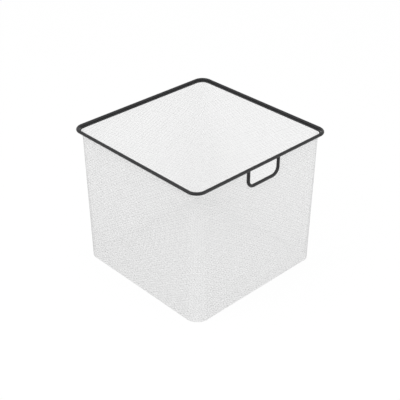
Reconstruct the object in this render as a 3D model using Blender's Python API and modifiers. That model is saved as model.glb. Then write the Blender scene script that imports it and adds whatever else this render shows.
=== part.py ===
"""Square open basket of expanded steel mesh, in metres, +Z up, standing on Z = 0.

A round wire rim carries a thin edge wire on its inner side. The mesh hangs from the edge
wire: four flat walls, four rounded corners that tighten towards the mouth, and a flat floor.
A wire loop hangs under the rim in the front wall, its leg ends coped to the edge wire. The
wall is cut away inside it and ends against its outer sides. The mesh is drawn with larger
gaps and strands than the real one.
"""

import math

import bmesh
import bpy

# Rim and edge wires, measured between the axes of opposite sides
rim_side = 0.350
rim_wire_diameter = 0.0064
rim_corner_radius = 0.0203
edge_wire_diameter = 0.0038
edge_seat_angle = math.radians(27)

# Mesh body. Its outer face meets the lower inner side of the edge wire, and its bends at the
# mouth are wider than the edge wire's by a set amount
rim_axis_height = 0.2955
mesh_seat_angle = math.radians(45)
mouth_bend_slack = 0.0054
floor_corner_radius = 0.029
sheet_thickness = 0.0012
strand_width = 0.0024

# Handle loop, measured on the wire's axis. The cut edge of the wall lies against its outer side,
# and the seat angle says how far round towards the inside
handle_wire_diameter = 0.0064
handle_width = 0.080
handle_drop = 0.041
handle_bend_radius = 0.015
handle_seat_angle = math.radians(35)

# Clearance at every welded seat, and what a cutter runs past the piece that it cuts
weld_gap = 0.0003
cut_overrun = 0.010

# Diamonds across and up each sheet, straight steps in a bend of 90 degrees, and sides of a wire
wall_diamonds_across = 6
wall_diamonds_up = 7
floor_diamonds_across = 7
bend_steps = 6
thick_wire_sides = 12
thin_wire_sides = 8

# Places that follow from the sizes above
rim_half = rim_side / 2
rim_wire_radius = rim_wire_diameter / 2
edge_wire_radius = edge_wire_diameter / 2
handle_wire_radius = handle_wire_diameter / 2
edge_seat = rim_wire_radius + edge_wire_radius + weld_gap
edge_half = rim_half - edge_seat * math.cos(edge_seat_angle)
edge_axis_height = rim_axis_height - edge_seat * math.sin(edge_seat_angle)
edge_corner_radius = rim_corner_radius - (rim_half - edge_half)
mesh_seat = edge_wire_radius + weld_gap
body_half = edge_half - mesh_seat * math.cos(mesh_seat_angle)
mouth_corner_radius = edge_corner_radius - (edge_half - body_half) + mouth_bend_slack
wall_top = edge_axis_height - mesh_seat * math.sin(mesh_seat_angle)
wall_bottom = sheet_thickness + weld_gap
handle_seat = handle_wire_radius + weld_gap
loop_plane = body_half + handle_seat * math.sin(handle_seat_angle)
loop_top = rim_axis_height - rim_wire_radius - weld_gap
opening_margin = handle_seat * math.cos(handle_seat_angle)
quarter_turn = math.pi / 2

# Colours in linear values, with roughness and metallic
dark_powder_coat = ((0.060, 0.060, 0.060, 1.0), 0.45, 0.0)
pale_mesh_coat = ((0.62, 0.62, 0.62, 1.0), 0.50, 0.0)


def body_corner_radius(height):
    """Outer radius of the mesh body's corners at a height."""
    return floor_corner_radius + (mouth_corner_radius - floor_corner_radius) * height / wall_top


def empty_scene():
    for thing in list(bpy.data.objects):
        bpy.data.objects.remove(thing, do_unlink=True)


def new_collection(name):
    collection = bpy.data.collections.new(name)
    bpy.context.scene.collection.children.link(collection)
    return collection


def add_part(name, data, finish):
    """Object in the basket's collection, with a material of its own."""
    part = bpy.data.objects.new(name, data)
    basket.objects.link(part)
    colour, roughness, metallic = finish
    material = bpy.data.materials.new(name + "_coat")
    material.use_nodes = True
    shader = material.node_tree.nodes["Principled BSDF"]
    shader.inputs["Base Color"].default_value = colour
    shader.inputs["Roughness"].default_value = roughness
    shader.inputs["Metallic"].default_value = metallic
    data.materials.append(material)
    return part


def add_cutter(name, mesh):
    cutter = bpy.data.objects.new(name, mesh)
    cutters.objects.link(cutter)
    cutter.display_type = "WIRE"
    cutter.hide_render = True
    return cutter


def cut(part, cutter):
    boolean = part.modifiers.new(cutter.name, "BOOLEAN")
    boolean.operation = "DIFFERENCE"
    boolean.solver = "EXACT"
    boolean.object = cutter


def mesh_from(name, bm):
    mesh = bpy.data.meshes.new(name)
    bm.to_mesh(mesh)
    bm.free()
    return mesh


# Wires

def wire_curve(name, points, diameter, sides, closed):
    curve = bpy.data.curves.new(name, "CURVE")
    curve.dimensions = "3D"
    curve.bevel_depth = diameter / 2
    curve.bevel_resolution = sides // 2 - 2
    curve.use_fill_caps = not closed
    spline = curve.splines.new("POLY")
    spline.points.add(len(points) - 1)
    for point, place in zip(spline.points, points):
        point.co = (*place, 1.0)
    spline.use_cyclic_u = closed
    return curve


def bend(centre, radius, start, turn):
    """Points of an arc in a plane, first and last included."""
    angles = [start + turn * step / bend_steps for step in range(bend_steps + 1)]
    return [(centre[0] + radius * math.cos(a), centre[1] + radius * math.sin(a)) for a in angles]


def square_ring(half, radius):
    """Rounded square, anticlockwise from above."""
    points = []
    for side in range(4):
        start = side * quarter_turn
        reach = (half - radius) * math.sqrt(2)
        middle = start + quarter_turn / 2
        centre = (reach * math.cos(middle), reach * math.sin(middle))
        points += bend(centre, radius, start, quarter_turn)
    return points


def make_rim_wire():
    ring = [(x, y, rim_axis_height) for x, y in square_ring(rim_half, rim_corner_radius)]
    curve = wire_curve("rim_wire", ring, rim_wire_diameter, thick_wire_sides, True)
    add_part("rim_wire", curve, dark_powder_coat)


def make_edge_wire():
    ring = [(x, y, edge_axis_height) for x, y in square_ring(edge_half, edge_corner_radius)]
    curve = wire_curve("edge_wire", ring, edge_wire_diameter, thin_wire_sides, True)
    add_part("edge_wire", curve, dark_powder_coat)


def cope_to_edge_wire(part):
    """Cuts a round seat for the edge wire across the ends of both legs."""
    bm = bmesh.new()
    radius = edge_wire_radius + weld_gap
    length = handle_width + handle_wire_diameter + cut_overrun
    bmesh.ops.create_cone(
        bm, cap_ends=True, segments=2 * thick_wire_sides, radius1=radius, radius2=radius,
        depth=length)
    cutter = add_cutter("edge_wire_seat", mesh_from("edge_wire_seat", bm))
    cutter.location = (0, -edge_half, edge_axis_height)
    cutter.rotation_euler = (0, quarter_turn, 0)
    cut(part, cutter)


def make_handle_loop():
    """U of wire in the plane of the front wall, from under the rim down and back up."""
    side = handle_width / 2
    low = rim_axis_height - handle_drop + handle_bend_radius
    left = bend((handle_bend_radius - side, low), handle_bend_radius, math.pi, quarter_turn)
    right = bend((side - handle_bend_radius, low), handle_bend_radius, -quarter_turn, quarter_turn)
    outline = [(-side, loop_top), *left, *right, (side, loop_top)]
    points = [(x, -loop_plane, z) for x, z in outline]
    curve = wire_curve("handle_path", points, handle_wire_diameter, thick_wire_sides, False)
    path = bpy.data.objects.new("handle_path", curve)
    basket.objects.link(path)
    bpy.context.view_layer.update()

    evaluated = path.evaluated_get(bpy.context.evaluated_depsgraph_get())
    bm = bmesh.new()
    bm.from_mesh(bpy.data.meshes.new_from_object(evaluated))
    bmesh.ops.remove_doubles(bm, verts=bm.verts, dist=weld_gap / 100)
    handle = add_part("handle_loop", mesh_from("handle_loop", bm), dark_powder_coat)
    bpy.data.objects.remove(path, do_unlink=True)
    handle.data.shade_smooth()
    cope_to_edge_wire(handle)


# Expanded mesh, laid out flat and then bent to the body

def diamond_sheet(across, up, width, height):
    """Flat sheet of diamonds, with half diamonds along its four edges, centred on X."""
    bm = bmesh.new()
    bmesh.ops.create_grid(bm, x_segments=across, y_segments=up, size=1)
    for vert in bm.verts:
        vert.co.x *= width / 2
        vert.co.y *= height / 2
    grid_lines = [edge for edge in bm.edges if not edge.is_boundary]
    bmesh.ops.poke(bm, faces=bm.faces)
    bmesh.ops.dissolve_edges(bm, edges=grid_lines)
    return bm


def split_across(bm):
    """Halves each strand that runs across the sheet, so that a bend has more steps."""
    for edge in bm.edges[:]:
        low, high = edge.verts
        if low.co.x != high.co.x:
            bmesh.utils.edge_split(edge, low, 0.5)


def open_gaps(bm):
    """Leaves a strand round each diamond and opens its middle."""
    gaps = bm.faces[:]
    bmesh.ops.inset_individual(bm, faces=gaps, thickness=strand_width / 2, use_even_offset=True)
    bmesh.ops.delete(bm, geom=gaps, context="FACES")


def add_sheet(name, bm):
    """Sheet whose faces look outwards, thickened towards the inside of the basket."""
    sheet = add_part(name, mesh_from(name, bm), pale_mesh_coat)
    shell = sheet.modifiers.new("thickness", "SOLIDIFY")
    shell.thickness = sheet_thickness
    shell.offset = -1
    return sheet


def wall_sheet(name, side):
    """Flat wall, wider towards the mouth, turned to its side of the basket."""
    height = wall_top - wall_bottom
    bm = diamond_sheet(wall_diamonds_across, wall_diamonds_up, 2 * body_half, height)
    open_gaps(bm)
    for vert in bm.verts:
        z = wall_bottom + height / 2 + vert.co.y
        flat_half = body_half - body_corner_radius(z) - weld_gap
        vert.co = (vert.co.x * flat_half / body_half, -body_half, z)
    wall = add_sheet(name, bm)
    wall.rotation_euler = (0, 0, side * quarter_turn)
    return wall


def corner_sheet(name, side):
    """Quarter round corner between two walls, turned to its place."""
    height = wall_top - wall_bottom
    arc = floor_corner_radius * quarter_turn
    wall_diamond_width = 2 * (body_half - floor_corner_radius) / wall_diamonds_across
    corner_diamonds_across = max(1, round(arc / wall_diamond_width))
    bm = diamond_sheet(corner_diamonds_across, wall_diamonds_up, arc, height)
    split_across(bm)
    open_gaps(bm)
    for vert in bm.verts:
        z = wall_bottom + height / 2 + vert.co.y
        angle = quarter_turn * vert.co.x / arc - quarter_turn / 2
        radius = body_corner_radius(z)
        centre = body_half - radius
        vert.co = (centre + radius * math.cos(angle), radius * math.sin(angle) - centre, z)
    corner = add_sheet(name, bm)
    corner.rotation_euler = (0, 0, side * quarter_turn)


def round_corner(bm, corner, radius):
    """Splits the two border edges at a corner and lays them on an arc."""
    inward = [-math.copysign(radius, corner.co.x), -math.copysign(radius, corner.co.y)]
    centre = (corner.co.x + inward[0], corner.co.y + inward[1])
    half_steps = bend_steps // 2
    for border in [edge for edge in corner.link_edges if edge.is_boundary]:
        far = border.other_vert(corner)
        along_x = abs(far.co.y - corner.co.y) < abs(far.co.x - corner.co.x)
        for step in range(half_steps):
            angle = quarter_turn / 2 * step / half_steps
            out, on = math.cos(angle), math.sin(angle)
            share = (on, out) if along_x else (out, on)
            border, point = bmesh.utils.edge_split(border, border.other_vert(corner), 0.5)
            point.co.x = centre[0] - inward[0] * share[0]
            point.co.y = centre[1] - inward[1] * share[1]
            border = next(edge for edge in point.link_edges if edge.other_vert(point) == corner)
    diagonal = math.cos(quarter_turn / 2)
    corner.co.x = centre[0] - inward[0] * diagonal
    corner.co.y = centre[1] - inward[1] * diagonal


def floor_sheet():
    """Flat floor with rounded corners. Its border lies under the foot of the walls."""
    side = 2 * body_half
    bm = diamond_sheet(floor_diamonds_across, floor_diamonds_across, side, side)
    for corner in [vert for vert in bm.verts if vert.is_boundary and abs(vert.co.x) == abs(vert.co.y)]:
        round_corner(bm, corner, floor_corner_radius)
    open_gaps(bm)
    bmesh.ops.reverse_faces(bm, faces=bm.faces)
    add_sheet("floor_mesh", bm)


def cut_finger_opening(wall):
    """Cuts the front wall away up to the outer sides of the handle loop."""
    bm = bmesh.new()
    bmesh.ops.create_cube(bm, size=1)
    width = handle_width + 2 * opening_margin
    depth = rim_wire_diameter + cut_overrun
    height = handle_drop + opening_margin + cut_overrun
    for vert in bm.verts:
        vert.co.x *= width
        vert.co.y *= depth
        vert.co.z = vert.co.z * height - height / 2
    low_edges = [
        edge for edge in bm.edges
        if all(vert.co.z < -height / 2 for vert in edge.verts)
        and edge.verts[0].co.x == edge.verts[1].co.x]
    bmesh.ops.bevel(
        bm, geom=low_edges, offset=handle_bend_radius + opening_margin, segments=bend_steps,
        profile=0.5, affect="EDGES")
    opening = add_cutter("finger_opening", mesh_from("finger_opening", bm))
    opening.location = (0, -body_half, rim_axis_height + cut_overrun)
    cut(wall, opening)


def make_mesh_body():
    for side, name in enumerate(("front", "right", "back", "left")):
        wall = wall_sheet("wall_mesh_" + name, side)
        if name == "front":
            cut_finger_opening(wall)
    for side, name in enumerate(("front_right", "back_right", "back_left", "front_left")):
        corner_sheet("corner_mesh_" + name, side)
    floor_sheet()


empty_scene()
basket = new_collection("mesh_basket")
cutters = new_collection("cutters")
make_rim_wire()
make_edge_wire()
make_handle_loop()
make_mesh_body()
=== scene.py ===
"""Square storage basket of fine expanded steel mesh, with a dark wire rim and a loop in one wall.

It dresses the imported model: each wire is drawn round and smooth, and each coarse net of the
model is replaced by the real, fine one.
"""

import math

import bpy
import numpy as np
from bpy.props import FloatProperty, FloatVectorProperty, IntProperty, PointerProperty
from bpy.types import Operator, Panel, PropertyGroup
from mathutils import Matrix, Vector


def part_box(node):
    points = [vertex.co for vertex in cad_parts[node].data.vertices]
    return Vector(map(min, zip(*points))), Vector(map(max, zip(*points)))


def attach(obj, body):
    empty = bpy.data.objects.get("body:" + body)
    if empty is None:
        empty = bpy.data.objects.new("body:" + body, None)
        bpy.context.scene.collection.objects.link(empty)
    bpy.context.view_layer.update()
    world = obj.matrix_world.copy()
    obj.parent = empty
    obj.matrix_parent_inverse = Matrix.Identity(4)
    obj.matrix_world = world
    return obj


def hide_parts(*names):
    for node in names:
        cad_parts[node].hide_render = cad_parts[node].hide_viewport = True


bl_info = {
    "name": "Mesh Basket",
    "version": (1, 0, 0),
    "blender": (4, 5, 0),
    "location": "3D View > Sidebar > Basket",
    "description": "Wires, expanded mesh and studio stage of a square storage basket",
    "category": "Add Mesh",
}

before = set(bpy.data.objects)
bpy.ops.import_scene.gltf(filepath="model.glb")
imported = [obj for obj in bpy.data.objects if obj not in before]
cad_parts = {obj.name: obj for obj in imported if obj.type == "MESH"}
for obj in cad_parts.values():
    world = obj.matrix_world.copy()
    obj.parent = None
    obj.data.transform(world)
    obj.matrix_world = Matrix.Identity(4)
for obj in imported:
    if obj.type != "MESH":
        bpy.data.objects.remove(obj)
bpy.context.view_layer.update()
bpy.ops.object.select_all(action="DESELECT")

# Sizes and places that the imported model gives
rim_low, rim_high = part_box("rim_wire")
edge_low, edge_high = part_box("edge_wire")
loop_low, loop_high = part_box("handle_loop")
floor_low, floor_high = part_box("floor_mesh")
rim_wire_diameter = rim_high.z - rim_low.z
edge_wire_diameter = edge_high.z - edge_low.z
loop_wire_diameter = loop_high.y - loop_low.y
rim_axis_height = (rim_high.z + rim_low.z) / 2
edge_axis_height = (edge_high.z + edge_low.z) / 2
loop_plane = (loop_high.y + loop_low.y) / 2
body_half = floor_high.x
wall_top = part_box("wall_mesh_right")[1].z

# Sides and corners in the order of quarter turns, from the side with the loop
SIDES = ("front", "right", "back", "left")
CORNERS = ("front_right", "back_right", "back_left", "front_left")
QUARTER_TURN = math.pi / 2

HAIR = 0.00001  # Places nearer than this are the same
SMOOTH_ANGLE = math.radians(40)  # Faces that meet at less than this look like one curve
NOISE_SPAN = (0.3, 0.7)  # A noise texture has nearly all its values between these

# Rows of diamonds' centres lie half a cell apart, so a quarter of a cell tells them apart
BETWEEN_ROWS = 1 / 4
# A cut draws the border's points onto its line where they are within this share of a cell of it
CUT_REACH_SHARE = 0.51
# A corner's strands are this share of a wall's, so that on a seam they lie inside the wall's
CORNER_STRAND_SHARE = 0.97


def linear(hex_colour):
    """An sRGB hex colour as linear red, green, blue and alpha."""
    channels = [int(hex_colour[at:at + 2], 16) / 255 for at in (1, 3, 5)]
    return (*[c / 12.92 if c <= 0.04045 else ((c + 0.055) / 1.055) ** 2.4 for c in channels], 1.0)


# Settings that a user would change


def length_setting(name, description, default):
    """A length in metres."""
    return FloatProperty(
        name=name, description=description, default=default, min=0, precision=5, unit="LENGTH")


def share_setting(name, description, default):
    """A share of a whole, or a brightness."""
    return FloatProperty(name=name, description=description, default=default, min=0, precision=3)


def power_setting(name, description, default):
    """A lamp's power in watts."""
    return FloatProperty(
        name=name, description=description, default=default, min=0, unit="POWER")


def angle_setting(name, description, degrees):
    """An angle, given in degrees and kept in radians."""
    return FloatProperty(
        name=name, description=description, default=math.radians(degrees), precision=5,
        subtype="ANGLE", unit="ROTATION")


def count_setting(name, description, default, least):
    """A whole number."""
    return IntProperty(name=name, description=description, default=default, min=least)


def place_setting(name, description, default):
    """A place, or a width and a height, in metres."""
    return FloatVectorProperty(
        name=name, description=description, default=default, size=len(default), precision=4,
        unit="LENGTH")


def colour_setting(name, description, hex_colour):
    """A colour, given in sRGB hex and kept linear."""
    return FloatVectorProperty(
        name=name, description=description, default=linear(hex_colour), size=4, min=0, max=1,
        subtype="COLOR")


class WireSettings(PropertyGroup):
    """Sizes and coat of the rim wire, the edge wire and the loop"""

    rim_side: length_setting(
        "Rim side", "Between the axes of opposite sides of the rim wire",
        rim_high.x - rim_low.x - rim_wire_diameter)
    rim_corner_radius: length_setting(
        "Rim corner radius", "Bend radius of the rim wire's axis", 0.0203)
    edge_side: length_setting(
        "Edge wire side", "Between the axes of opposite sides of the edge wire",
        edge_high.x - edge_low.x - edge_wire_diameter)
    loop_width: length_setting(
        "Loop width", "Between the axes of the loop's legs",
        loop_high.x - loop_low.x - loop_wire_diameter)
    loop_floor: length_setting(
        "Loop height", "Height of the loop's lower bar above the ground",
        loop_low.z + loop_wire_diameter / 2)
    loop_bend_radius: length_setting(
        "Loop bend radius", "Bend radius of the loop wire's axis", 0.015)
    weld_bead: length_setting(
        "Weld bead", "Radius of the bead round each leg where it meets the wires", 0.0007)
    wire_sides: count_setting("Wire sides", "Flat sides round a wire", 24, 6)
    bend_steps: count_setting("Bend steps", "Straight pieces in each bend of a wire", 12, 1)
    bead_sides: count_setting("Bead sides", "Flat sides round a bead of weld", 8, 3)
    coat_colour: colour_setting("Wire coat", "Dark powder coat of the wires", "#2B2B2C")
    coat_peel: length_setting("Orange peel", "Spacing of the ripples in the powder coat", 0.0012)
    coat_ripple: length_setting("Ripple height", "Height of the powder coat's ripples", 0.00006)
    coat_mottle: length_setting("Mottle", "Size of the coat's lighter and darker patches", 0.0144)
    mottle_share: share_setting(
        "Mottle share", "How much lighter and darker the patches are than the coat", 0.12)


class NetSettings(PropertyGroup):
    """Sizes and coat of the expanded mesh"""

    diamond_width: length_setting(
        "Diamond width", "Long way of one opening, between strand middles", 0.0050)
    diamond_height: length_setting(
        "Diamond height", "Short way of one opening, between strand middles", 0.0034)
    # The floor's diamonds are a little larger, which keeps it under 200,000 triangles
    floor_columns: count_setting("Floor columns", "Diamonds across the floor", 66, 2)
    floor_rows: count_setting("Floor rows", "Diamonds along the floor", 93, 2)
    strand: length_setting("Strand", "Width and thickness of one strand", 0.000485)
    inset: length_setting("Inset", "From the body's outer face to the strands' middle", 0.0003)
    floor_corner_radius: length_setting(
        "Floor corner radius", "Outer radius of the body's corners at the floor", 0.029)
    mouth_corner_radius: length_setting(
        "Mouth corner radius", "Outer radius of the body's corners at the rim", 0.0193)
    coat_colour: colour_setting("Mesh coat", "Pale coat of the expanded mesh", "#CFCFCF")
    coat_mottle: length_setting("Mottle", "Size of the coat's lighter and darker patches", 0.012)
    mottle_share: share_setting(
        "Mottle share", "How much lighter and darker the patches are than the coat", 0.03)
    # Painted glints: a hatch of lighter and darker strands in the mesh coat's colour
    painted_glint_run: length_setting(
        "Glint run", "Spacing round the body of the strands that catch the light", 0.0077)
    painted_glint_rise: length_setting(
        "Glint rise", "Spacing up the body of the strands that catch the light", 0.0053)
    painted_glint_share: share_setting(
        "Glint share", "How much lighter and darker the glints make the coat", 0.26)


class StageSettings(PropertyGroup):
    """Floor, room, lamps and camera"""

    floor_side: length_setting("Floor side", "Side of the square studio floor", 12)
    floor_paper: colour_setting("Floor paper", "White paper under the basket", "#F4F4F4")
    floor_glow: share_setting(
        "Floor glow", "Share of the floor's white that no shadow darkens", 0.95)
    floor_bounce: colour_setting(
        "Floor bounce", "What the floor sends back up to the basket", "#C4C4C4")
    room_white: colour_setting("Room white", "What the camera sees behind the basket", "#FFFFFF")
    ambient: share_setting("Ambient", "Brightness of the white room that lights the basket", 0.95)
    lamp_aim: place_setting("Lamp aim", "Where both lamps point, in the basket", (0, 0, 0.15))
    key_place: place_setting(
        "Key place", "Soft box high on the basket's left", (-1.4, 0.35, 1.55))
    key_size: place_setting("Key size", "Width and height of the high soft box", (1.4, 1.4))
    key_power: power_setting("Key power", "Power of the high soft box", 14.5)
    fill_place: place_setting(
        "Fill place", "Soft box low in front of the loop", (0.4, -1.5, 0.35))
    fill_size: place_setting("Fill size", "Width and height of the low soft box", (1.2, 0.5))
    fill_power: power_setting("Fill power", "Power of the low soft box", 7)
    camera_place: place_setting(
        "Camera place", "Where the photograph was taken from", (-1.0727, -1.1279, 1.1034))
    camera_heading: angle_setting(
        "Camera heading", "Turn of the camera to the right of straight at the loop's side", 43.573)
    camera_pitch: angle_setting("Camera pitch", "How far the camera looks down", 31.899)
    camera_lens: FloatProperty(
        name="Lens", description="Focal length on a sensor 36 mm wide", default=80.586, min=1,
        unit="CAMERA")


GROUPS = {"basket_wires": WireSettings, "basket_net": NetSettings, "basket_stage": StageSettings}


# Selection and places


def places_of(piece):
    """Its vertices' places, one row each."""
    places = np.empty(len(piece.data.vertices) * 3)
    piece.data.vertices.foreach_get("co", places)
    return places.reshape(-1, 3)


def move_to(piece, places):
    """Moves its vertices to new places."""
    piece.data.vertices.foreach_set("co", places.ravel())
    piece.data.update()


def edge_ends(piece):
    """Places of both ends of each edge."""
    ends = np.empty(len(piece.data.edges) * 2, np.int32)
    piece.data.edges.foreach_get("vertices", ends)
    return places_of(piece)[ends.reshape(-1, 2)]


def face_centres(piece):
    """Its faces' middles, one row each."""
    centres = np.empty(len(piece.data.polygons) * 3)
    piece.data.polygons.foreach_get("center", centres)
    return centres.reshape(-1, 3)


def edit_selected(piece, kind, chosen):
    """Goes into edit mode with only the chosen vertices, edges or faces selected."""
    mesh = piece.data
    items_of = {"VERT": mesh.vertices, "EDGE": mesh.edges, "FACE": mesh.polygons}
    for items in items_of.values():
        items.foreach_set("select", np.zeros(len(items), bool))
    items_of[kind].foreach_set("select", chosen)
    bpy.context.tool_settings.mesh_select_mode = [kind == mode for mode in items_of]
    bpy.ops.object.mode_set(mode="EDIT")


def select_alone(piece):
    """Makes it the one selected and active object."""
    bpy.ops.object.select_all(action="DESELECT")
    piece.select_set(True)
    bpy.context.view_layer.objects.active = piece


def apply_place(piece):
    """Puts the piece's place, turn and scale into its mesh."""
    select_alone(piece)
    bpy.ops.object.transform_apply(location=True, rotation=True, scale=True)


def turn_copy(piece, quarters):
    """A copy with its own mesh, turned round the basket by quarter turns."""
    select_alone(piece)
    bpy.ops.object.duplicate()
    turned = bpy.context.object
    turned.rotation_euler = (0, 0, quarters * QUARTER_TURN)
    apply_place(turned)
    return turned


def finish_piece(piece, node, material):
    """Names a piece after the node that it stands for, and gives it its coat."""
    piece.name = node + "_fine"
    piece.data.name = piece.name
    piece.data.materials.clear()
    piece.data.materials.append(material)
    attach(piece, "root")
    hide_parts(node)


# Coats


def add_node(tree, kind, inputs=None, **settings):
    """Adds a node, sets its properties, and fills or links its inputs."""
    node = tree.nodes.new(kind)
    for name, value in settings.items():
        setattr(node, name, value)
    for socket, value in (inputs or {}).items():
        if isinstance(value, bpy.types.NodeSocket):
            tree.links.new(value, node.inputs[socket])
        else:
            node.inputs[socket].default_value = value
    return node


def coat(surface, settings):
    """The material of a surface, made the first time that a piece asks for it."""
    material = bpy.data.materials.get(surface.__name__)
    if material is None:
        material = bpy.data.materials.new(surface.__name__)
        material.use_nodes = True
        tree = material.node_tree
        tree.nodes.clear()
        add_node(tree, "ShaderNodeOutputMaterial", {"Surface": surface(tree, settings)})
    return material


def mottled_colour(tree, place, settings, detail):
    """The coat's colour in patches, which are a little lighter and darker."""
    patches = add_node(
        tree, "ShaderNodeTexNoise",
        {"Vector": place, "Scale": 1 / settings.coat_mottle, "Detail": detail})
    tone = add_node(tree, "ShaderNodeValToRGB", {"Fac": patches.outputs["Fac"]})
    shares = (1 - settings.mottle_share, 1 + settings.mottle_share)
    for stop, position, share in zip(tone.color_ramp.elements, NOISE_SPAN, shares):
        stop.position = position
        stop.color = (*[channel * share for channel in settings.coat_colour[:3]], 1.0)
    return tone.outputs["Color"]


def powder_coated_steel_wire(tree, settings):
    """Satin powder coat baked on steel wire: a soft sheen with slight ripples, like orange peel."""
    place = add_node(tree, "ShaderNodeTexCoord").outputs["Object"]
    peel = add_node(
        tree, "ShaderNodeTexNoise",
        {"Vector": place, "Scale": 1 / settings.coat_peel, "Detail": 1.0})
    ripple = add_node(
        tree, "ShaderNodeBump",
        {"Height": peel.outputs["Fac"], "Strength": 0.25, "Distance": settings.coat_ripple})
    gloss = add_node(
        tree, "ShaderNodeMapRange",
        {"Value": peel.outputs["Fac"], "To Min": 0.26, "To Max": 0.36})
    shader = add_node(
        tree, "ShaderNodeBsdfPrincipled",
        {"Base Color": mottled_colour(tree, place, settings, 3.0),
         "Roughness": gloss.outputs["Result"], "Normal": ripple.outputs["Normal"], "IOR": 1.5,
         "Specular IOR Level": 0.18})
    return shader.outputs["BSDF"]


def painted_strand_glints(tree, place, settings):
    """Cross-hatch of painted glints from -1 to 1, for strands whose twist catches the light.

    It is drawn coarser than the strands, because their own pattern is too fine to show. A whole
    number of waves lies between the body's middle and each wall, where the hatch is strongest.
    """
    waves_across = round(body_half / settings.painted_glint_run) / (body_half - settings.inset)
    turns = [2 * math.pi * waves for waves in (
        waves_across, waves_across, 1 / settings.painted_glint_rise)]
    phase = add_node(tree, "ShaderNodeVectorMath", {0: place, 1: turns}, operation="MULTIPLY")
    waves = add_node(
        tree, "ShaderNodeVectorMath", {0: phase.outputs["Vector"]}, operation="COSINE")
    along = add_node(tree, "ShaderNodeSeparateXYZ", {0: waves.outputs["Vector"]})
    level = add_node(
        tree, "ShaderNodeMath", {0: along.outputs["X"], 1: along.outputs["Y"]},
        operation="MULTIPLY")
    hatch = add_node(
        tree, "ShaderNodeMath", {0: level.outputs["Value"], 1: along.outputs["Z"]},
        operation="MULTIPLY")
    return hatch.outputs["Value"]


def epoxy_coated_expanded_steel(tree, settings):
    """Pale epoxy coat on expanded steel: an even, slightly chalky light grey with soft edges.

    A hatch of painted glints makes its strands lighter and darker in turns.
    """
    place = add_node(tree, "ShaderNodeTexCoord").outputs["Object"]
    share = add_node(
        tree, "ShaderNodeMapRange",
        {"Value": painted_strand_glints(tree, place, settings), "From Min": -1.0, "From Max": 1.0,
         "To Min": 1 - settings.painted_glint_share, "To Max": 1 + settings.painted_glint_share})
    # Painted glints: the coat's colour lightened and darkened along the hatch
    painted_glint_colour = add_node(
        tree, "ShaderNodeVectorMath",
        {0: mottled_colour(tree, place, settings, 4.0), "Scale": share.outputs["Result"]},
        operation="SCALE")
    shader = add_node(
        tree, "ShaderNodeBsdfPrincipled",
        {"Base Color": painted_glint_colour.outputs["Vector"], "Roughness": 0.45, "IOR": 1.5,
         "Specular IOR Level": 0.3})
    return shader.outputs["BSDF"]


# Wires


def draw_wire(path, diameter, sides):
    """Turns a path of edges into a round wire with closed ends."""
    select_alone(path)
    bpy.ops.object.convert(target="CURVE")
    curve = bpy.context.object.data
    curve.bevel_depth = diameter / 2
    # A round bevel has four sides, and two more for each step of its resolution
    curve.bevel_resolution = sides // 2 - 2
    curve.use_fill_caps = not curve.splines[0].use_cyclic_u
    bpy.ops.object.convert(target="MESH")
    bpy.ops.object.mode_set(mode="EDIT")
    bpy.ops.mesh.select_all(action="SELECT")
    bpy.ops.mesh.remove_doubles(threshold=HAIR)
    bpy.ops.mesh.normals_make_consistent(inside=False)
    bpy.ops.object.mode_set(mode="OBJECT")
    bpy.ops.object.shade_smooth_by_angle(angle=SMOOTH_ANGLE)
    return bpy.context.object


def finish_wire(wire, node, wires):
    """Finishes a wire with the dark coat."""
    finish_piece(wire, node, coat(powder_coated_steel_wire, wires))


def square_wire(side, corner_radius, height, diameter, wires):
    """A wire bent to a rounded square and butt welded. Its axis is a plane's outline."""
    bpy.ops.mesh.primitive_plane_add(size=side, location=(0, 0, height))
    path = bpy.context.object
    apply_place(path)
    bpy.ops.object.mode_set(mode="EDIT")
    bpy.ops.mesh.select_all(action="SELECT")
    bpy.ops.mesh.bevel(
        offset=corner_radius, segments=wires.bend_steps, profile=0.5, affect="VERTICES")
    bpy.ops.mesh.delete(type="ONLY_FACE")
    bpy.ops.object.mode_set(mode="OBJECT")
    return draw_wire(path, diameter, wires.wire_sides)


class BASKET_OT_rim_wire(Operator):
    """Bend the thick rim wire"""

    bl_idname = "basket.rim_wire"
    bl_label = "Rim Wire"

    def execute(self, context):
        wires = context.scene.basket_wires
        rim = square_wire(
            wires.rim_side, wires.rim_corner_radius, rim_axis_height, rim_wire_diameter, wires)
        finish_wire(rim, "rim_wire", wires)
        return {"FINISHED"}


class BASKET_OT_edge_wire(Operator):
    """Bend the thinner wire inside the rim, which carries the mesh"""

    bl_idname = "basket.edge_wire"
    bl_label = "Edge Wire"

    def execute(self, context):
        wires = context.scene.basket_wires
        corner_radius = wires.rim_corner_radius - (wires.rim_side - wires.edge_side) / 2
        edge = square_wire(
            wires.edge_side, corner_radius, edge_axis_height, edge_wire_diameter, wires)
        finish_wire(edge, "edge_wire", wires)
        return {"FINISHED"}


def loop_wire(wires):
    """The U of wire, with its two legs up to the rim wire's underside."""
    height = rim_low.z - wires.loop_floor
    middle = wires.loop_floor + height / 2
    bpy.ops.mesh.primitive_plane_add(
        size=1, location=(0, loop_plane, middle), rotation=(QUARTER_TURN, 0, 0))
    path = bpy.context.object
    path.scale = (wires.loop_width, height, 1)
    apply_place(path)
    edit_selected(path, "EDGE", (edge_ends(path)[:, :, 2] > middle).all(1))
    bpy.ops.mesh.delete(type="EDGE")
    bpy.ops.object.mode_set(mode="OBJECT")
    edit_selected(path, "VERT", places_of(path)[:, 2] < middle)
    bpy.ops.mesh.bevel(
        offset=wires.loop_bend_radius, segments=wires.bend_steps, profile=0.5, affect="VERTICES")
    bpy.ops.object.mode_set(mode="OBJECT")
    return draw_wire(path, loop_wire_diameter, wires.wire_sides)


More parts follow.
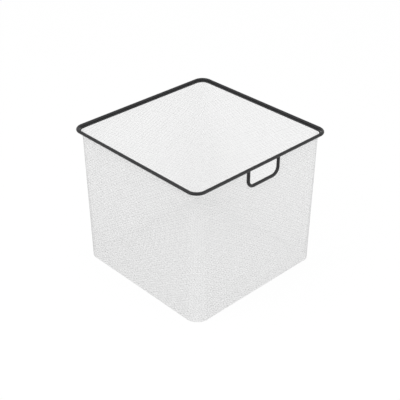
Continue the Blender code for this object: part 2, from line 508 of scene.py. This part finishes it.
def weld_bead(x, wires):
    """A bead of weld round the top of a leg, between it and the two wires above it."""
    bpy.ops.mesh.primitive_torus_add(
        major_radius=loop_wire_diameter / 2, minor_radius=wires.weld_bead,
        major_segments=wires.wire_sides, minor_segments=wires.bead_sides,
        location=(x, loop_plane, loop_high.z))
    bead = bpy.context.object
    apply_place(bead)
    bpy.ops.object.shade_smooth()
    return bead


class BASKET_OT_handle_loop(Operator):
    """Bend the loop of wire that frames the finger opening, and weld its legs under the rim"""

    bl_idname = "basket.handle_loop"
    bl_label = "Handle Loop"

    def execute(self, context):
        wires = context.scene.basket_wires
        loop = loop_wire(wires)
        beads = [weld_bead(side * wires.loop_width / 2, wires) for side in (-1, 1)]
        select_alone(loop)
        for bead in beads:
            bead.select_set(True)
        bpy.ops.object.join()
        finish_wire(loop, "handle_loop", wires)
        return {"FINISHED"}


# Expanded mesh, laid out flat with X round the body and Y up it


def body_radius(net, height):
    """Radius of the sheet's middle round a corner, at a height."""
    outer = net.floor_corner_radius + (
        net.mouth_corner_radius - net.floor_corner_radius) * height / wall_top
    return outer - net.inset


def quarter_way(net, height):
    """Length of a quarter of the way round the sheet's middle, at a height."""
    radius = body_radius(net, height)
    return 2 * (body_half - net.inset - radius) + QUARTER_TURN * radius


def net_columns(net):
    """Columns of diamonds in a wall and in a corner, and their width, alike all round the body."""
    around = round(quarter_way(net, 0) / net.diamond_width)
    width = quarter_way(net, 0) / around
    wall = int(2 * (body_half - net.inset - body_radius(net, 0)) / width)
    return wall, around - wall, width


def flat_net(columns, rows, width, height):
    """A flat sheet of diamonds round the origin, with half diamonds along its four sides.

    Each cell of a grid is poked into four triangles. Then the grid's own edges go, which joins
    the triangles of neighbouring cells into diamonds.
    """
    bpy.ops.mesh.primitive_grid_add(x_subdivisions=columns, y_subdivisions=rows, size=1)
    sheet = bpy.context.object
    sheet.scale = (width, height, 1)
    apply_place(sheet)
    bpy.ops.object.mode_set(mode="EDIT")
    bpy.ops.mesh.select_all(action="SELECT")
    bpy.ops.mesh.poke()
    bpy.ops.object.mode_set(mode="OBJECT")
    ends = edge_ends(sheet)
    middles = ends.mean(1)
    straight = (np.abs(ends[:, 0] - ends[:, 1])[:, :2] < HAIR).any(1)
    inside = (np.abs(middles[:, 0]) < width / 2 - HAIR) & (
        np.abs(middles[:, 1]) < height / 2 - HAIR)
    edit_selected(sheet, "EDGE", straight & inside)
    bpy.ops.mesh.dissolve_edges(use_verts=False)
    bpy.ops.object.mode_set(mode="OBJECT")
    return sheet


def delete_diamonds(sheet, gone):
    """Deletes the marked diamonds of a flat net."""
    edit_selected(sheet, "FACE", gone)
    bpy.ops.mesh.delete(type="FACE")
    bpy.ops.object.mode_set(mode="OBJECT")


def upright_net(net, columns, width, reach):
    """A flat net as high as the walls, which laps the edge wire's inner side.

    Diamonds past its reach, counted in columns from the middle, are deleted. So are the half
    diamonds at its foot, and it ends there in open points.
    """
    low, high = floor_high.z / 2, (wall_top + edge_axis_height) / 2
    height = high - low
    rows = round(height / net.diamond_height)
    sheet = flat_net(columns, rows, columns * width, height)
    middles = face_centres(sheet)
    beyond = np.abs(middles[:, 0]) > reach * width
    at_foot = middles[:, 1] < (BETWEEN_ROWS / rows - 1 / 2) * height
    delete_diamonds(sheet, beyond | at_foot)
    places = places_of(sheet)
    places[:, 1] += (low + high) / 2
    move_to(sheet, places)
    return sheet


def beyond_square(places, centre, half, radius):
    """How far each place lies outside a rounded square, and the nearest place on its line."""
    off = places[:, :2] - centre
    over = np.abs(off) - (half - radius)
    outer = np.maximum(over, 0)
    reach = np.hypot(outer[:, 0], outer[:, 1])
    beyond = reach + np.minimum(over.max(1), 0) - radius
    in_corner = (over > 0).all(1)
    nearest = np.abs(off)
    nearest[np.arange(len(off)), over.argmax(1)] = half
    nearest[in_corner] = half - radius + outer[in_corner] * (radius / reach[in_corner])[:, None]
    return beyond, centre + np.sign(off) * nearest


def trim_net(sheet, centre, half, radius, cell, keep_inside, bends_only=False):
    """Cuts a flat net along a rounded square and draws its cut strands onto that line.

    It keeps the diamonds inside or outside the square. Where the net already ends at the
    square's straight sides, only the bends are drawn.
    """
    beyond, _ = beyond_square(face_centres(sheet), centre, half, radius)
    delete_diamonds(sheet, beyond > 0 if keep_inside else beyond < 0)
    edit_selected(sheet, "VERT", np.zeros(len(sheet.data.vertices), bool))
    bpy.ops.mesh.select_non_manifold()
    bpy.ops.object.mode_set(mode="OBJECT")
    border = np.empty(len(sheet.data.vertices), bool)
    sheet.data.vertices.foreach_get("select", border)
    places = places_of(sheet)
    beyond, nearest = beyond_square(places, centre, half, radius)
    cut = border & (np.abs(beyond) < CUT_REACH_SHARE * cell)
    if bends_only:
        cut &= (np.abs(places[:, :2] - centre) > half - radius).all(1)
    places[cut, :2] = nearest[cut]
    move_to(sheet, places)


def open_net(sheet, strand):
    """Leaves only the strands between the diamonds, as thick as they are wide."""
    select_alone(sheet)
    strands = sheet.modifiers.new("strands", "WIREFRAME")
    strands.thickness = strand
    strands.offset = 0
    strands.use_boundary = True
    strands.use_even_offset = True
    bpy.ops.object.modifier_apply(modifier="strands")


def flat_wall(net):
    """Flat net of one wall. It widens upwards, as the body's corners get tighter."""
    columns, _, width = net_columns(net)
    sheet = upright_net(net, columns, width, columns / 2 - BETWEEN_ROWS)
    places = places_of(sheet)
    places[:, 0] *= quarter_way(net, places[:, 1]) / quarter_way(net, 0)
    move_to(sheet, places)
    return sheet


def cut_finger_opening(sheet, net, wires):
    """Cuts a flat wall open inside the loop, where its strands meet the loop's wire."""
    half = wires.loop_width / 2
    off_axis = -loop_plane - (body_half - net.inset)
    margin = math.sqrt((loop_wire_diameter / 2) ** 2 - off_axis ** 2)
    _, _, width = net_columns(net)
    trim_net(
        sheet, (0, wires.loop_floor + half), half + margin, wires.loop_bend_radius + margin,
        width, keep_inside=False)


def stand_wall(sheet, net):
    """Opens a flat sheet and stands it up as the front wall."""
    open_net(sheet, net.strand)
    across, up, out = places_of(sheet).T
    move_to(sheet, np.stack([across, -(body_half - net.inset) - out, up], 1))


def bend_corner(sheet, net):
    """Bends a flat sheet round the front right corner, with straight runs beyond the bend."""
    across, up, out = places_of(sheet).T
    radius = body_radius(net, up)
    centre = body_half - net.inset - radius
    way = across * quarter_way(net, up) / quarter_way(net, 0)
    half_arc = radius * QUARTER_TURN / 2
    bent = np.clip(way, -half_arc, half_arc)
    angle = bent / radius - QUARTER_TURN / 2
    straight = way - bent
    x = centre + (radius + out) * np.cos(angle) + np.minimum(straight, 0)
    y = -centre + (radius + out) * np.sin(angle) + np.maximum(straight, 0)
    move_to(sheet, np.stack([x, y, up], 1))


def finish_net(sheet, node, net):
    """Finishes a net with the pale coat."""
    finish_piece(sheet, node, coat(epoxy_coated_expanded_steel, net))


class BASKET_OT_wall_mesh(Operator):
    """Make the four flat walls of expanded mesh, the front one cut open inside the loop"""

    bl_idname = "basket.wall_mesh"
    bl_label = "Wall Mesh"

    def execute(self, context):
        net, wires = context.scene.basket_net, context.scene.basket_wires
        front = flat_wall(net)
        cut_finger_opening(front, net, wires)
        stand_wall(front, net)
        whole = flat_wall(net)
        stand_wall(whole, net)
        walls = [front] + [turn_copy(whole, quarters) for quarters in (1, 2, 3)]
        bpy.data.objects.remove(whole)
        for side, wall in zip(SIDES, walls):
            finish_net(wall, "wall_mesh_" + side, net)
        return {"FINISHED"}


class BASKET_OT_corner_mesh(Operator):
    """Bend the four rounded corners of expanded mesh"""

    bl_idname = "basket.corner_mesh"
    bl_label = "Corner Mesh"

    def execute(self, context):
        net = context.scene.basket_net
        _, columns, width = net_columns(net)
        # The diamonds centred on a wall's last line fill the notches of its zigzag side
        sheet = upright_net(net, columns + 2, width, columns / 2 + BETWEEN_ROWS)
        open_net(sheet, CORNER_STRAND_SHARE * net.strand)
        bend_corner(sheet, net)
        for quarters, corner in enumerate(CORNERS):
            finish_net(turn_copy(sheet, quarters), "corner_mesh_" + corner, net)
        bpy.data.objects.remove(sheet)
        return {"FINISHED"}


class BASKET_OT_floor_mesh(Operator):
    """Make the flat floor of expanded mesh, with rounded corners"""

    bl_idname = "basket.floor_mesh"
    bl_label = "Floor Mesh"

    def execute(self, context):
        net = context.scene.basket_net
        half = body_half - net.inset
        sheet = flat_net(net.floor_columns, net.floor_rows, 2 * half, 2 * half)
        cell = 2 * half / np.array((net.floor_columns, net.floor_rows))
        off_middle = np.abs(face_centres(sheet)[:, :2])
        delete_diamonds(sheet, (off_middle > half - BETWEEN_ROWS * cell).any(1))
        trim_net(
            sheet, (0, 0), half, body_radius(net, 0), cell[0], keep_inside=True, bends_only=True)
        open_net(sheet, net.strand)
        places = places_of(sheet)
        places[:, 2] += net.inset
        move_to(sheet, places)
        finish_net(sheet, "floor_mesh", net)
        return {"FINISHED"}


# Stage


def seen_straight(tree):
    """One where a camera, glossy or transmission ray meets the surface, and else zero."""
    ray = add_node(tree, "ShaderNodeLightPath")
    seen = ray.outputs["Is Camera Ray"]
    for kind in ("Is Glossy Ray", "Is Transmission Ray"):
        seen = add_node(
            tree, "ShaderNodeMath", {0: seen, 1: ray.outputs[kind]}, operation="ADD",
            use_clamp=True).outputs["Value"]
    return seen


def white_room(stage):
    """A world that looks white and lights the basket softly from all round."""
    world = bpy.data.worlds.new("white_room")
    bpy.context.scene.world = world
    world.use_nodes = True
    tree = world.node_tree
    tree.nodes.clear()
    light, seen = [
        add_node(tree, "ShaderNodeBackground", {"Color": stage.room_white, "Strength": strength})
        for strength in (stage.ambient, 1.0)]
    mixed = add_node(
        tree, "ShaderNodeMixShader",
        {0: seen_straight(tree), 1: light.outputs[0], 2: seen.outputs[0]})
    add_node(tree, "ShaderNodeOutputWorld", {"Surface": mixed.outputs[0]})


def white_paper_floor(tree, stage):
    """Matt white paper that keeps a faint shadow and bounces less light. It is clear from below."""
    paper = add_node(tree, "ShaderNodeBsdfDiffuse", {"Color": stage.floor_paper})
    glow = add_node(tree, "ShaderNodeEmission", {"Color": stage.room_white, "Strength": 1.0})
    white = add_node(
        tree, "ShaderNodeMixShader", {0: stage.floor_glow, 1: paper.outputs[0], 2: glow.outputs[0]})
    bounce = add_node(tree, "ShaderNodeBsdfDiffuse", {"Color": stage.floor_bounce})
    above = add_node(
        tree, "ShaderNodeMixShader",
        {0: seen_straight(tree), 1: bounce.outputs[0], 2: white.outputs[0]})
    below = add_node(tree, "ShaderNodeBsdfTransparent")
    face = add_node(tree, "ShaderNodeNewGeometry")
    sheet = add_node(
        tree, "ShaderNodeMixShader",
        {0: face.outputs["Backfacing"], 1: above.outputs[0], 2: below.outputs[0]})
    return sheet.outputs[0]


def studio_floor(stage):
    """The square floor under the basket."""
    bpy.ops.mesh.primitive_plane_add(size=stage.floor_side)
    floor = bpy.context.object
    floor.name = "studio_floor"
    floor.data.materials.append(coat(white_paper_floor, stage))


def soft_box(name, place, size, power, aim):
    """A rectangular lamp that points at the basket and that the camera doesn't see."""
    lamp = bpy.data.lights.new(name, "AREA")
    lamp.shape = "RECTANGLE"
    lamp.size, lamp.size_y = size
    lamp.energy = power
    light = bpy.data.objects.new(name, lamp)
    bpy.context.scene.collection.objects.link(light)
    light.location = place
    light.rotation_euler = (Vector(aim) - light.location).to_track_quat("-Z", "Y").to_euler()
    light.visible_camera = False


def photo_camera(stage):
    """The camera of the photograph: where it stood, which way it looked, and its lens."""
    lens = bpy.data.cameras.new("photo_camera")
    lens.sensor_width = 36
    lens.lens = stage.camera_lens
    camera = bpy.data.objects.new("photo_camera", lens)
    bpy.context.scene.collection.objects.link(camera)
    camera.location = stage.camera_place
    camera.rotation_euler = (QUARTER_TURN - stage.camera_pitch, 0, -stage.camera_heading)
    bpy.context.scene.camera = camera


class BASKET_OT_stage(Operator):
    """Set up the white room, the floor, the lamps and the camera"""

    bl_idname = "basket.stage"
    bl_label = "Stage"

    def execute(self, context):
        stage = context.scene.basket_stage
        context.scene.view_settings.view_transform = "Standard"
        white_room(stage)
        studio_floor(stage)
        soft_box(
            "high_soft_box", stage.key_place, stage.key_size, stage.key_power, stage.lamp_aim)
        soft_box(
            "low_soft_box", stage.fill_place, stage.fill_size, stage.fill_power, stage.lamp_aim)
        photo_camera(stage)
        return {"FINISHED"}


STEPS = (
    BASKET_OT_stage, BASKET_OT_rim_wire, BASKET_OT_edge_wire, BASKET_OT_handle_loop,
    BASKET_OT_wall_mesh, BASKET_OT_corner_mesh, BASKET_OT_floor_mesh)


class BASKET_PT_panel(Panel):
    """Lists the settings and the steps in the 3D view's sidebar"""

    bl_idname = "BASKET_PT_panel"
    bl_label = "Mesh Basket"
    bl_space_type = "VIEW_3D"
    bl_region_type = "UI"
    bl_category = "Basket"

    def draw(self, context):
        for name in GROUPS:
            group = getattr(context.scene, name)
            box = self.layout.box()
            for setting in group.__annotations__:
                box.prop(group, setting)
        for step in STEPS:
            self.layout.operator(step.bl_idname)


def register():
    """Registers the settings, the steps and the panel."""
    for name, group in GROUPS.items():
        bpy.utils.register_class(group)
        setattr(bpy.types.Scene, name, PointerProperty(type=group))
    for step in STEPS:
        bpy.utils.register_class(step)
    bpy.utils.register_class(BASKET_PT_panel)


def unregister():
    """Takes away what register added."""
    bpy.utils.unregister_class(BASKET_PT_panel)
    for step in reversed(STEPS):
        bpy.utils.unregister_class(step)
    for name, group in GROUPS.items():
        delattr(bpy.types.Scene, name)
        bpy.utils.unregister_class(group)


def main():
    """Builds the basket and its stage."""
    register()
    bpy.ops.basket.stage()
    bpy.ops.basket.rim_wire()
    bpy.ops.basket.edge_wire()
    bpy.ops.basket.handle_loop()
    bpy.ops.basket.wall_mesh()
    bpy.ops.basket.corner_mesh()
    bpy.ops.basket.floor_mesh()


if __name__ == "__main__":
    main()
